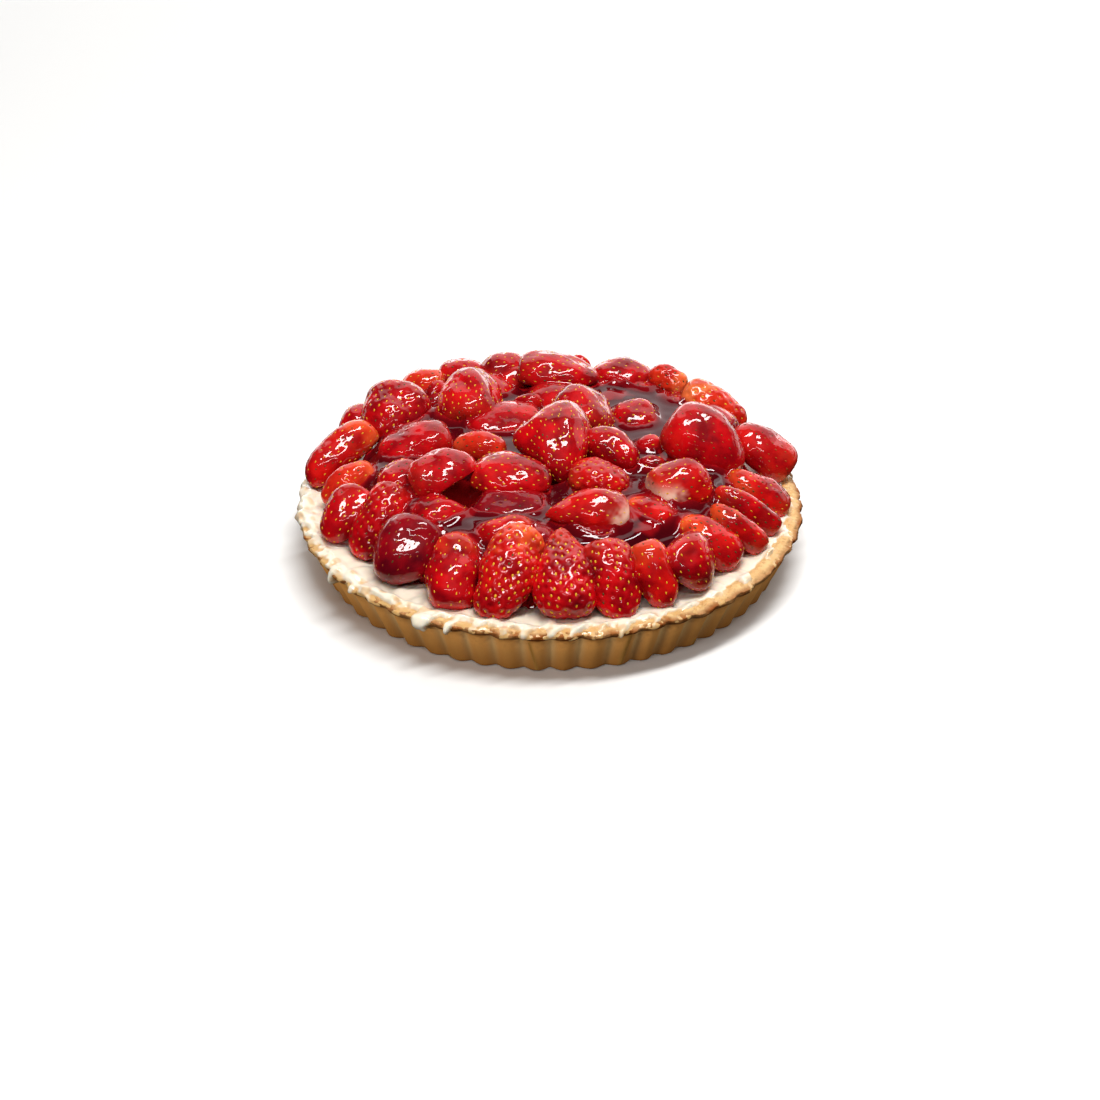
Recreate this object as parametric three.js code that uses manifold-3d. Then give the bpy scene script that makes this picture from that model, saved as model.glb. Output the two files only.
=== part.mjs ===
// Strawberry tart, 24 cm across: a fluted pastry case filled with white cream and piled with
// strawberries, whole, halved and sliced, that are set in red jelly.
// Millimetres, +Z up. The origin is the centre of the flat underside; the front faces -Y.
// Bearings are degrees round the tart as seen from above: 0 at the front, 90 at the right (+X).

import * as THREE from "three";
import { mergeVertices } from "three/addons/utils/BufferGeometryUtils.js";
import Module from "manifold-3d";

const wasm = await Module();
wasm.setup();

// Driving dimensions

const gap = 0.3; // air between pieces that touch

const rimRadius = 120; // outside of the baked lip
const wallRadius = 118; // outside of the wall where it turns into the lip
const wallTop = 20.5; // and the height of that turn
const baseRadius = 108.5; // outside of the wall where it stands on the table
const lipHeight = 26.6; // top of the baked lip
const lipThick = 3.2; // from its outer edge up to its top
const lipRound = 2.6; // how far the top of the lip lies inside its outer edge
const lipInner = 110.5; // where the lip ends and the cream starts
const lipDip = 1; // how far the lip falls towards the cream
const lipUnevenness = 0.9;
const pastryFloor = 6; // thickness of the pastry underneath
const floorRadius = 104.5; // inside of the wall at the bottom
const fluteCount = 55;
const fluteDepth = 2.8; // from the crown of a flute to the valley between two
const pointsPerFlute = 3;
const fluteAtRim = 0.4; // share of that depth left in the outer edge of the lip
const fluteOnLip = 0.2; // and in its top

const creamTop = 24.7; // the level of the cream under the fruit
const creamSkin = 1.9; // how thickly the cream lies on the lip
const creamEdge = 1; // thickness of the edge where it stops
const creamBank = 1; // how much higher it stands where it meets the lip
const creamWaves = 0.6;
const creamSides = 92;

const jellyTop = 48.5; // the level of the jelly between the uppermost berries
const jellyShoulder = 66; // the jelly is level inside this radius
const jellyEdge = 100; // and meets the cream at this one, at the front and the back
const jellySpread = 6; // both lie so much further out at the left and the right
const jellySides = 44;

const berryRings = 5; // bands of faces from one end of a berry to the other
const berrySides = 8;
const cornerOut = 1.03; // the corners stand out a little, so that flat faces match a round berry
const domeShare = 0.68; // share of a berry's thickness above its widest line; the cut side is flatter
const shoulder = 0.5; // how blunt the stalk end is: 0.5 is an ellipse

const pastryColour = 0xc99a5b;
const creamColour = 0xf6e8d8;
const jellyColour = 0x5e1a22;
const berryColour = 0xb0121a;

const turn = 2 * Math.PI;
const radians = THREE.MathUtils.degToRad;
const { lerp } = THREE.MathUtils;

// One row for each berry:
// name, bearing, reach from the axis, height of its middle, heading of its tip (a bearing too),
// pitch of its tip above level, roll about its own axis, length, width, thickness,
// taper from an even oval at 0 to a pointed cone at 0.5, sideways bend, and how sharp the tip is:
// 0.5 is round, 1 or more is pointed.
// A berry in an earlier row keeps its whole form, and the later ones give way to it.

const crownBerries = [
  ["crown_1", 60, 3, 57, 9, -18, 0, 48, 33, 24, 0.2, 0, 0.95],
  ["crown_2", -35, 32, 53, 76, 0, 0, 38, 29, 17, 0.15, 0, 0.7],
  ["crown_3", 158, 36, 53.5, -169, 10, 0, 35, 32, 21, 0.2, 0, 0.9],
  ["crown_4", 96, 74, 51, 58, -17, 0, 41, 36, 27, 0.3, 0, 0.8],
  ["crown_5", -143, 65, 51.5, 179, 31, 0, 35, 34, 21, 0.3, 0, 0.8],
  ["crown_6", -121, 89, 46.5, -17, -18, 0, 35, 34, 21, 0.2, 0, 0.8],
  ["crown_7", -63, 56, 54, 106, 10, 0, 33, 27, 18, 0.1, 0, 0.8],
  ["crown_8", 64, 67, 49, 113, 2, 0, 30, 27, 21, 0.1, 0, 0.8],
  ["crown_9", 17, 57, 51, -82, 2, 0, 39, 25, 16, 0.35, 0, 1.25],
  ["crown_10", -101, 66, 48, -76, -10, 0, 36, 27, 16, 0.15, 0, 0.8],
  ["crown_11", -96, 34, 52, -107, 0, 0, 26, 16, 13, 0.1, 0, 0.8],
  ["crown_12", -148, 44, 48, -68, -2, 0, 36, 26, 12, 0.1, 0, 0.8],
  ["crown_13", 84, 28, 53, 54, -16, 20, 29, 19, 14, 0.1, 3, 0.8],
  ["crown_14", 44, 33, 51, 74, -2, 0, 29, 24, 13, 0.2, 0, 0.8],
  ["crown_15", 136, 58, 48, -79, 0, 0, 21, 23, 12, 0.1, 0, 0.8],
  ["crown_16", 174, 58, 46, 70, 4, 0, 35, 27, 15, 0.25, 0, 0.8],
  ["crown_17", -157, 80, 44, 50, -6, 0, 32, 25, 14, 0.2, 0, 0.8],
];

const outerBerries = [
  ["outer_1", 4, 90, 41.2, -175, 31, 0, 46, 31, 19, 0.4, 0, 1.3],
  ["outer_2", -12, 91, 40, -20, -29, 0, 47, 28, 19, 0.1, 0, 0.8],
  ["outer_3", 16.6, 96, 38, 20, -39, 0, 38, 28, 17, 0.3, 0, 0.8],
  ["outer_4", -28, 93, 37, 176, 33, 0, 38, 25, 17, 0.15, 0, 0.8],
  ["outer_5", 39, 100, 38.5, 62, -50, 0, 25, 28, 17, 0.25, 0, 0.8],
  ["outer_6", 28, 99, 38, 33, -47, 0, 32, 21, 16, 0.2, 0, 0.8],
  ["outer_7", -45, 94, 37.5, -39, -36, 0, 33, 29, 20, 0.15, 0, 0.8],
  ["outer_8", -62, 90, 38, -34, -34, 0, 39, 25, 18, 0.2, 0, 0.8],
  ["outer_9", 52, 92, 37, -104, 34, -20, 33, 22, 15, 0.25, 0, 0.8],
  ["outer_10", 63, 97, 37, -104, 38, -10, 32, 15, 13, 0.15, 2, 0.8],
  ["outer_11", 72, 96, 38, -96, 36, -10, 36, 13, 14, 0.1, 2, 0.8],
  ["outer_12", 84, 98, 36, -88, 33, -10, 34, 20, 14, 0.15, 1, 0.8],
  ["outer_13", 105, 105, 37, -109, 36, 0, 34, 28, 19, 0.15, 0, 0.8],
  ["outer_14", -101, 102, 38, -48, -22, 0, 42, 20, 17, 0.1, -3, 0.8],
  ["outer_15", -86, 96, 38, -69, -25, 0, 29, 16, 14, 0.15, 0, 0.8],
  ["outer_16", -71, 101, 37, -41, -33, 0, 30, 23, 15, 0.15, 0, 0.8],
];

const backBerries = [
  ["back_1", 177, 78, 53, 85, -3, 0, 41, 27, 17, 0.2, 0, 1.1],
  ["back_2", 127, 102, 42, 76, -24, 0, 33, 21, 15, 0.25, 0, 0.8],
  ["back_3", 158, 93, 47, -95, 8, 0, 30, 22, 13, 0.1, 0, 1.1],
  ["back_4", 144, 98, 48, -111, 16, 0, 20, 13, 12, 0.1, 0, 0.8],
  ["back_5", -166, 94, 46, 115, 13, 0, 24, 23, 16, 0.2, 0, 0.8],
  ["back_6", -154, 100, 44, 88, 3, 0, 24, 22, 15, 0.1, 0, 0.8],
  ["back_7", -141, 102, 45, -95, -16, 0, 24, 18, 12, 0.2, 0, 0.8],
  ["back_8", -118, 107, 39, -47, -20, 0, 21, 17, 14, 0.2, 0, 0.8],
  ["back_9", 121, 96, 37, 118, -38, 0, 30, 24, 16, 0.25, 0, 0.8],
  ["back_10", 136, 93, 36, -40, 42, 0, 32, 25, 16, 0.3, 0, 0.8],
  ["back_11", 150, 92, 34.5, 153, -44, 0, 31, 24, 16, 0.2, 0, 0.8],
  ["back_12", 164, 91, 35, 160, -40, 0, 33, 26, 17, 0.35, 0, 0.8],
  ["back_13", 178, 90, 39, -4, 43, 0, 33, 24, 17, 0.25, 0, 0.8],
  ["back_14", -168, 91, 38, -165, -42, 0, 30, 25, 16, 0.3, 0, 0.8],
  ["back_15", -154, 91, 38, -158, -44, 0, 32, 23, 15, 0.2, 0, 0.8],
  ["back_16", -140, 94, 37, 44, 40, 0, 30, 25, 16, 0.3, 0, 0.8],
  ["back_17", -127, 97, 36, -124, -42, 0, 28, 22, 15, 0.2, 0, 0.8],
];

const lowBerries = [
  ["low_1", 45, 65, 46, -132, 0, 0, 25, 17, 11, 0.1, 0, 0.8],
  ["low_2", -76, 73, 46, -31, -11, 0, 24, 21, 14, 0.1, 0, 0.8],
  ["low_3", -48, 68, 46, -59, 0, 0, 27, 23, 13, 0.1, 0, 0.8],
  ["low_4", -27, 46, 46, -90, 0, 0, 36, 25, 13, 0.1, 0, 0.8],
  ["low_5", -18, 68, 46, -76, -3, 0, 26, 16, 12, 0.1, 0, 0.8],
  ["low_6", 17, 63, 44, -101, 0, 0, 23, 18, 12, 0.1, 0, 0.8],
  ["low_7", -4, 72, 45, -172, 34, 0, 16, 14, 12, 0.1, 0, 0.8],
];

// Bits of fruit smaller than a berry that stand out of the jelly, part of its solid.
const smallPieces = [
  ["bit_1", -167, 51, 51, -90, 0, 0, 14, 8, 9, 0.1, 0, 0.8],
  ["bit_2", 104, 48, 49, -90, 0, 0, 12, 10, 8, 0.1, 0, 0.8],
  ["bit_3", 81, 48, 49, -90, 0, 0, 13, 9, 8, 0.1, 0, 0.8],
  ["bit_4", 171, 92, 46, 75, 0, 0, 13, 9, 16, 0.1, 0, 0.8],
  ["bit_5", -141, 90, 44, -36, 0, 0, 14, 10, 12, 0.1, 0, 0.8],
];

// Where the cream runs over the lip: bearing, half of the width in degrees, and how far past the
// inner edge of the lip it gets. The first rows are broad flows, the rest tongues and drips.
const creamFlows = [
  [-92, 34, 11.5],
  [-45, 26, 8],
  [0, 34, 6],
  [-150, 34, 5],
  [-58, 2.6, 14.5],
  [-29.5, 3.4, 13.5],
  [-23, 1.8, 9.5],
  [-16.5, 2.6, 9.5],
  [-9.5, 2.6, 9],
  [-4, 3, 10],
  [6.5, 4, 9.5],
  [17, 4, 8.5],
  [24, 3.4, 6],
  [-118, 4, 11],
  [-139, 3, 9],
  [-163, 4, 8.5],
  [172, 4, 6.5],
  [141, 3, 4.5],
];

// Shapes

function polar(bearing, reach, height) {
  return new THREE.Vector3(reach * Math.sin(bearing), -reach * Math.cos(bearing), height);
}

// A slow uneven wave round the tart, between about -1 and 1.
function wander(bearing, seed) {
  return (
    (Math.sin(5 * bearing + seed) +
      Math.sin(9 * bearing + 2.3 * seed) +
      Math.sin(17 * bearing + 4.1 * seed)) /
    3
  );
}

// A geometry that closes on itself, as a solid: its seam and its ends are welded, and the faces
// that have no area there are left out.
function solidOf(geometry) {
  geometry.deleteAttribute("normal");
  geometry.deleteAttribute("uv");
  const welded = mergeVertices(geometry, 0.0001);
  const corners = welded.index.array;
  const faces = [];
  for (let i = 0; i < corners.length; i += 3) {
    const [a, b, c] = corners.slice(i, i + 3);
    if (a !== b && b !== c && c !== a) faces.push(a, b, c);
  }
  return new wasm.Manifold(
    new wasm.Mesh({
      numProp: 3,
      vertProperties: welded.attributes.position.array,
      triVerts: new Uint32Array(faces),
    }),
  );
}

// A turned body whose profile differs from bearing to bearing. A profile is a list of radii and
// heights that runs from the axis at the bottom to the axis at the top.
function turnedBody(sides, profileAt) {
  const profile = profileAt(0, 0).map(([radius, height]) => new THREE.Vector2(radius, height));
  const geometry = new THREE.LatheGeometry(profile, sides);
  const points = geometry.attributes.position;
  for (let side = 0; side <= sides; side++) {
    const bearing = ((side % sides) / sides) * turn;
    profileAt(bearing, side % sides).forEach(([radius, height], row) => {
      const { x, y, z } = polar(bearing, radius, height);
      points.setXYZ(side * profile.length + row, x, y, z);
    });
  }
  return solidOf(geometry);
}

function largestBody(solid) {
  const bodies = solid.decompose();
  return bodies.reduce((best, body) => (body.volume() > best.volume() ? body : best));
}

// The pastry case

function lipShift(bearing) {
  return lipUnevenness * wander(bearing, 1.7);
}

function pastryCase() {
  return turnedBody(fluteCount * pointsPerFlute, (bearing, side) => {
    const inset = side % pointsPerFlute === 0 ? fluteDepth : 0;
    const lift = lipShift(bearing);
    return [
      [0, 0],
      [baseRadius - inset, 0],
      [wallRadius - inset, wallTop],
      [rimRadius - fluteAtRim * inset, lipHeight - lipThick + lift],
      [rimRadius - lipRound - fluteOnLip * inset, lipHeight + lift],
      [lipInner, lipHeight - lipDip + lift],
      [floorRadius, pastryFloor],
      [0, pastryFloor],
    ];
  });
}

// The space that the case takes out of what lies in it: its form without the flutes, set off a gap.
function caseRoom() {
  const off = gap + 0.1;
  return turnedBody(creamSides, (bearing) => {
    const lift = lipShift(bearing) + off;
    return [
      [0, -off],
      [baseRadius + off, -off],
      [wallRadius + off, wallTop],
      [rimRadius + off, lipHeight - lipThick + lift],
      [rimRadius - lipRound, lipHeight + lift],
      [lipInner - off, lipHeight - lipDip + lift],
      [floorRadius - off, pastryFloor + off],
      [0, pastryFloor + off],
    ];
  });
}

// The cream

// The way that the cream takes out over the lip: distance from the lip's inner edge, radius, height.
const lipPath = [
  [-4, lipInner - 0.8, lipHeight - 5],
  [0, lipInner, lipHeight - lipDip],
  [rimRadius - lipRound - lipInner, rimRadius - lipRound, lipHeight],
  [11, rimRadius, lipHeight - lipThick],
  [16, wallRadius, wallTop - 2],
];

function onLip(distance) {
  const next = Math.max(1, lipPath.findIndex(([far]) => far >= distance));
  const [far, farRadius, farHeight] = lipPath[next];
  const [near, nearRadius, nearHeight] = lipPath[next - 1];
  const share = (distance - near) / (far - near);
  return [lerp(nearRadius, farRadius, share), lerp(nearHeight, farHeight, share)];
}

function creamReach(bearing) {
  const here = THREE.MathUtils.radToDeg(bearing);
  let reach = 0.6 + 0.8 * wander(bearing, 4.2);
  for (const [middle, halfWidth, distance] of creamFlows) {
    const away = Math.abs(THREE.MathUtils.euclideanModulo(here - middle + 180, 360) - 180);
    if (away < halfWidth) {
      const share = Math.cos((away / halfWidth) * (Math.PI / 2)) ** 0.6;
      reach = Math.max(reach, distance * share);
    }
  }
  return reach;
}

// It starts as a body that reaches into the pastry, which then takes its own space out of it.
function creamLayer() {
  const buried = 3;
  const crestBack = 2.5; // the cream has its full thickness so far behind its edge
  return turnedBody(creamSides, (bearing) => {
    const reach = creamReach(bearing);
    const lift = lipShift(bearing);
    const [edgeRadius, edgeHeight] = onLip(reach);
    const [crestRadius, crestHeight] = onLip(reach - crestBack);
    return [
      [0, pastryFloor - buried],
      [floorRadius + 1, pastryFloor - buried],
      [lipInner + buried, wallTop + 1],
      [edgeRadius + creamEdge, edgeHeight + creamEdge + lift],
      [crestRadius + creamEdge / 2, crestHeight + creamSkin + lift],
      [lipInner - 4, creamTop + creamBank + creamWaves * wander(bearing, 3.1)],
      [jellyEdge + jellyShift(bearing) + 1, creamTop],
      [0, creamTop],
    ];
  });
}

// The jelly

function jellyShift(bearing) {
  return jellySpread * Math.sin(bearing) ** 2;
}

function jellyMound() {
  const slope = [1, 0.66, 0.33, 0]; // shares of the way from the shoulder to the edge
  const foot = creamTop + gap;
  return turnedBody(jellySides, (bearing) => [
    [0, foot],
    ...slope.map((share) => [
      lerp(jellyShoulder, jellyEdge, share) + jellyShift(bearing),
      lerp(foot, jellyTop, Math.cos((share * Math.PI) / 2)),
    ]),
    [0, jellyTop],
  ]);
}

// The berries

function berryAxes(heading, pitch, roll) {
  const tip = new THREE.Vector3(
    Math.sin(heading) * Math.cos(pitch),
    -Math.cos(heading) * Math.cos(pitch),
    Math.sin(pitch),
  );
  const dome = new THREE.Vector3(
    -Math.sin(heading) * Math.sin(pitch),
    Math.cos(heading) * Math.sin(pitch),
    Math.cos(pitch),
  ).applyAxisAngle(tip, roll);
  return { tip, dome, side: new THREE.Vector3().crossVectors(dome, tip) };
}

// Half widths along a berry, as a share of its widest: angle 0 is the tip, and pi the stalk end.
function berryGirth(angle, taper, point) {
  const raw = (along) => Math.sin(along) * (1 - taper * Math.cos(along));
  const widest = Math.max(...[1.57, 1.7, 1.85, 2, 2.15].map(raw));
  const towardShoulder = (1 - Math.cos(angle)) / 2;
  return Math.max(0, raw(angle) / widest) ** lerp(point, shoulder, towardShoulder);
}

// A ball with one pole at the tip, pulled into the form of a row of the tables.
function berry(row, grow) {
  const [, bearing, reach, height, heading, pitch, roll] = row;
  const [length, width, thick, taper, bend, point] = row.slice(7);
  const { tip, dome, side } = berryAxes(radians(heading), radians(pitch), radians(roll));
  const place = new THREE.Matrix4().makeBasis(tip, side, dome);
  place.setPosition(polar(radians(bearing), reach, height));
  const ball = new THREE.SphereGeometry(1, berrySides, berryRings).rotateZ(-Math.PI / 2);
  const points = ball.attributes.position;
  const spot = new THREE.Vector3();
  for (let i = 0; i < points.count; i++) {
    spot.fromBufferAttribute(points, i);
    const angle = Math.acos(THREE.MathUtils.clamp(spot.x, -1, 1));
    const round = Math.atan2(spot.z, spot.y);
    const girth = cornerOut * berryGirth(angle, taper, point);
    const deep = thick * (Math.sin(round) > 0 ? domeShare : 1 - domeShare) + grow;
    spot.set(
      (length / 2 + grow) * Math.cos(angle),
      (width / 2 + grow) * girth * Math.cos(round) + bend * Math.sin(angle),
      deep * girth * Math.sin(round),
    );
    points.setXYZ(i, ...spot.applyMatrix4(place));
  }
  return solidOf(ball);
}

function nearEnough(one, other) {
  const reachOf = (row) => Math.max(row[7], row[8]) / 2;
  const middleOf = (row) => polar(radians(row[1]), row[2], row[3]);
  return middleOf(one).distanceTo(middleOf(other)) < reachOf(one) + reachOf(other) + 2 * gap;
}

// The tart

const tart = new THREE.Group();

function addPiece(name, solid, colour, roughness) {
  const mesh = solid.getMesh();
  const geometry = new THREE.BufferGeometry();
  geometry.setAttribute("position", new THREE.BufferAttribute(mesh.vertProperties, 3));
  geometry.setIndex(new THREE.BufferAttribute(mesh.triVerts, 1));
  const piece = new THREE.Mesh(
    geometry,
    new THREE.MeshStandardMaterial({ color: colour, roughness, metalness: 0 }),
  );
  piece.name = name;
  tart.add(piece);
}

addPiece("crust", pastryCase(), pastryColour, 0.75);

const berries = [...crownBerries, ...outerBerries, ...backBerries, ...lowBerries];
const pastryRoom = caseRoom();
let cream = creamLayer().subtract(pastryRoom);
let jelly = jellyMound();
for (const row of smallPieces) jelly = jelly.add(berry(row, 0));

berries.forEach((row, place) => {
  let solid = berry(row, 0);
  for (const earlier of berries.slice(0, place))
    if (nearEnough(row, earlier)) solid = solid.subtract(berry(earlier, gap));
  const room = berry(row, gap);
  cream = cream.subtract(room);
  jelly = jelly.subtract(room);
  addPiece(row[0], largestBody(solid.subtract(pastryRoom)), berryColour, 0.2);
});

addPiece("cream", largestBody(cream), creamColour, 0.35);
addPiece("jelly", largestBody(jelly), jellyColour, 0.08);

export default tart;
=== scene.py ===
# Dresses the strawberry tart: baked case, cream, jelly, berries with their seeds, and the studio.
# Metres, +Z up, origin under the middle of the case, front at -Y. Bearings are degrees round the
# tart seen from above, 0 at the front and 90 at the right.
import math

import bpy
import numpy as np
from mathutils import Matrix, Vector


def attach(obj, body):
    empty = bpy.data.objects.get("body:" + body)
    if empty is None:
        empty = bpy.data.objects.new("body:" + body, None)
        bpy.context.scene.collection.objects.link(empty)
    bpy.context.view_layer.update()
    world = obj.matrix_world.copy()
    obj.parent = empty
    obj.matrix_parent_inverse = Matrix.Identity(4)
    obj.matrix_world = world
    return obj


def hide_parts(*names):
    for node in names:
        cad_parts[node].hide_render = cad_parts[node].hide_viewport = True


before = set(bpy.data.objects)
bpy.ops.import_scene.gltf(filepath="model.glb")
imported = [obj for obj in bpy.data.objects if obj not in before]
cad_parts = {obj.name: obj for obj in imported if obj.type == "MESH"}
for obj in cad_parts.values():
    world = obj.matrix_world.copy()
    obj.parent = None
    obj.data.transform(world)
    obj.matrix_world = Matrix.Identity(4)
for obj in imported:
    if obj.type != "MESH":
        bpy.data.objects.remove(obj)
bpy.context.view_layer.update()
scene = bpy.context.scene
mm = 0.001
print("frame loaded:", len(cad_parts), "nodes")


def deselectAll():
    if bpy.context.mode != "OBJECT":
        bpy.ops.object.mode_set(mode="OBJECT")
    bpy.ops.object.select_all(action="DESELECT")


def makeActive(piece):
    deselectAll()
    piece.select_set(True)
    bpy.context.view_layer.objects.active = piece


def readPoints(piece):
    points = np.empty(len(piece.data.vertices) * 3)
    piece.data.vertices.foreach_get("co", points)
    return points.reshape(-1, 3)


def writePoints(piece, points):
    piece.data.vertices.foreach_set("co", np.ascontiguousarray(points, dtype=np.float32).ravel())
    piece.data.update()


def storeValues(piece, name, values):
    layer = piece.data.attributes.new(name, "FLOAT", "POINT")
    layer.data.foreach_set("value", np.ascontiguousarray(values, dtype=np.float32))


def dressPiece(piece, name, material, slot, *nodes):
    piece.name = name
    piece.data.name = name
    piece.data.materials.clear()
    piece.data.materials.append(material)
    piece.data.polygons.foreach_set("use_smooth", [True] * len(piece.data.polygons))
    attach(piece, "root")
    if nodes:
        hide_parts(*nodes)
    return piece


def smoothStep(value, low, high):
    share = np.clip((value - low) / (high - low), 0, 1)
    return share * share * (3 - 2 * share)


def unit(vectors):
    return vectors / (np.linalg.norm(vectors, axis=1, keepdims=True) + 1e-9)


# Points round the tart, from their bearing in radians, radius and height.
def polar(bearing, radius, height):
    return np.stack([radius * np.sin(bearing), -radius * np.cos(bearing), height], 1)


def levelPoints(x, y):
    return np.stack([x, y, np.zeros(len(x))], 1)


# An uneven wave in space, mostly between -1 and 1: a dozen sine waves that cross each other.
def ripple(points, waveLength, seed):
    rng = np.random.default_rng(seed)
    total = np.zeros(len(points))
    waves = 12
    for _ in range(waves):
        way = rng.normal(size=3)
        way *= rng.uniform(0.7, 1.5) / np.linalg.norm(way)
        total += np.sin(points @ way * (2 * math.pi / waveLength) + rng.uniform(0, 2 * math.pi))
    return total / math.sqrt(waves / 2) / 1.6


# Several ripples on top of each other: the height, wave length and seed of each.
def ripples(points, waves):
    return sum(height * ripple(points, waveLength, seed) for height, waveLength, seed in waves)


# A slow uneven wave round the tart, between about -1 and 1.
def wander(bearing, seed):
    return (np.sin(5 * bearing + seed) + np.sin(9 * bearing + 2.3 * seed)
            + np.sin(17 * bearing + 4.1 * seed)) / 3


# Leaves just these vertices of a piece picked, for the next operator in edit mode.
def pickVertices(piece, wanted):
    makeActive(piece)
    bpy.ops.object.mode_set(mode="EDIT")
    bpy.ops.mesh.select_mode(type="VERT")
    bpy.ops.mesh.select_all(action="DESELECT")
    bpy.ops.object.mode_set(mode="OBJECT")
    piece.data.vertices.foreach_set("select", wanted)


# A plain grid, wrapped round the tart in code: columns run round it, rows along the section.
def addWrappedGrid(columns, rows):
    deselectAll()
    bpy.ops.mesh.primitive_grid_add(x_subdivisions=columns, y_subdivisions=rows, size=2)
    piece = bpy.context.active_object
    points = readPoints(piece)
    column = np.rint((points[:, 0] + 1) / 2 * columns).astype(int)
    row = np.rint((points[:, 1] + 1) / 2 * rows).astype(int)
    return piece, column, row


def closeSeams(piece):
    makeActive(piece)
    bpy.ops.object.mode_set(mode="EDIT")
    bpy.ops.mesh.select_all(action="SELECT")
    bpy.ops.mesh.remove_doubles(threshold=0.00001)
    bpy.ops.mesh.normals_make_consistent(inside=False)
    bpy.ops.object.mode_set(mode="OBJECT")


# An sRGB hex colour as the linear values that the shaders take.
def linear(hexColour):
    parts = [int(hexColour[i:i + 2], 16) / 255 for i in (1, 3, 5)]
    return [c / 12.92 if c <= 0.04045 else ((c + 0.055) / 1.055) ** 2.4 for c in parts] + [1.0]


def newMaterial(name):
    material = bpy.data.materials.new(name)
    material.use_nodes = True
    material.node_tree.nodes.clear()
    return material, material.node_tree


# Adds one shader node. Inputs are named or numbered, and each holds a value or another node's
# socket.
def addNode(tree, kind, inputs=None, **settings):
    made = tree.nodes.new("ShaderNode" + kind)
    for setting, value in settings.items():
        setattr(made, setting, value)
    for key, value in (inputs or {}).items():
        if isinstance(value, bpy.types.NodeSocket):
            tree.links.new(value, made.inputs[key])
        else:
            made.inputs[key].default_value = value
    return made


# Shortcrust pastry, baked in a tin: matt and sandy, pale where it is thin, brown along the edges. Its
# colour also holds painted shade at the wall's foot and in the lip's creases, and painted reflections
# in the flutes' valleys.
def bakedPastry():
    look = {"wall": "#F8AE5C", "valley": "#F2C482", "foot": "#A8682A", "lip": "#ECC488",
            "baked": "#BE8040", "toastAndShade": "#96501C", "glazed": "#C08840",
            "patchMm": 9.0, "freckleMm": 5.0, "crumbMm": 0.7, "footMm": 16.0,
            "flakeDepthMm": 3.0, "crumbDepthMm": 0.3, "roughness": 0.62, "glazeRoughness": 0.12}
    material, tree = newMaterial("baked shortcrust pastry")
    place = addNode(tree, "TexCoord").outputs["Object"]
    onLip, edge, valley, baked, glazed = (
        addNode(tree, "Attribute", attribute_name=name).outputs["Fac"]
        for name in ("lip", "edge", "valley", "baked", "glazed"))
    patches, freckles, crumbs = (
        addNode(tree, "TexNoise", {
            "Vector": place, "Scale": 1000 / look[size], "Detail": detail}).outputs["Fac"]
        for size, detail in (("patchMm", 3.0), ("freckleMm", 5.0), ("crumbMm", 2.0)))
    height = addNode(tree, "SeparateXYZ", {"Vector": place}).outputs["Z"]
    # Painted shade: the first share darkens the wall towards its foot, over its lowest 16 mm.
    footShare, bakedShare, toastAndShadeShare, roughness = (
        addNode(tree, "MapRange", {
            "Value": value, "From Min": fromLow, "From Max": fromHigh, "To Min": toLow,
            "To Max": toHigh}).outputs[0]
        for value, fromLow, fromHigh, toLow, toHigh in (
            (height, look["footMm"] * mm, 0.0, 0.0, 0.9), (freckles, 0.44, 0.62, 0.0, 0.9),
            (patches, 0.35, 0.65, 0.6, 1.0),
            (glazed, 0.0, 1.0, look["roughness"], look["glazeRoughness"])))
    bakedMask, toastAndCreaseShade, flakeHeight = (
        addNode(tree, "Math", {0: first, 1: second}, operation="MULTIPLY").outputs[0]
        for first, second in ((bakedShare, baked), (toastAndShadeShare, edge), (freckles, onLip)))
    lip = addNode(tree, "Mix", {
        0: bakedMask, 6: linear(look["lip"]), 7: linear(look["baked"])},
        data_type="RGBA").outputs[2]
    # Each layer lies over the ones before, from the bare wall on: painted reflections in the flutes'
    # valleys, painted shade at the wall's foot, the lip, toast with painted shade in the lip's
    # creases, and glazed runs, which are dark and shine.
    colour = linear(look["wall"])
    for share, layer in ((valley, linear(look["valley"])), (footShare, linear(look["foot"])),
                         (onLip, lip), (toastAndCreaseShade, linear(look["toastAndShade"])),
                         (glazed, linear(look["glazed"]))):
        colour = addNode(tree, "Mix", {0: share, 6: colour, 7: layer},
                         data_type="RGBA").outputs[2]
    flakes = addNode(tree, "Bump", {
        "Strength": 1.0, "Distance": look["flakeDepthMm"] * mm, "Height": flakeHeight})
    bump = addNode(tree, "Bump", {
        "Strength": 0.6, "Distance": look["crumbDepthMm"] * mm, "Height": crumbs,
        "Normal": flakes.outputs[0]})
    surface = addNode(tree, "BsdfPrincipled", {
        "Base Color": colour, "Roughness": roughness, "Specular IOR Level": 0.2,
        "Normal": bump.outputs[0]})
    addNode(tree, "OutputMaterial", {"Surface": surface.outputs[0]})
    return material


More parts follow.
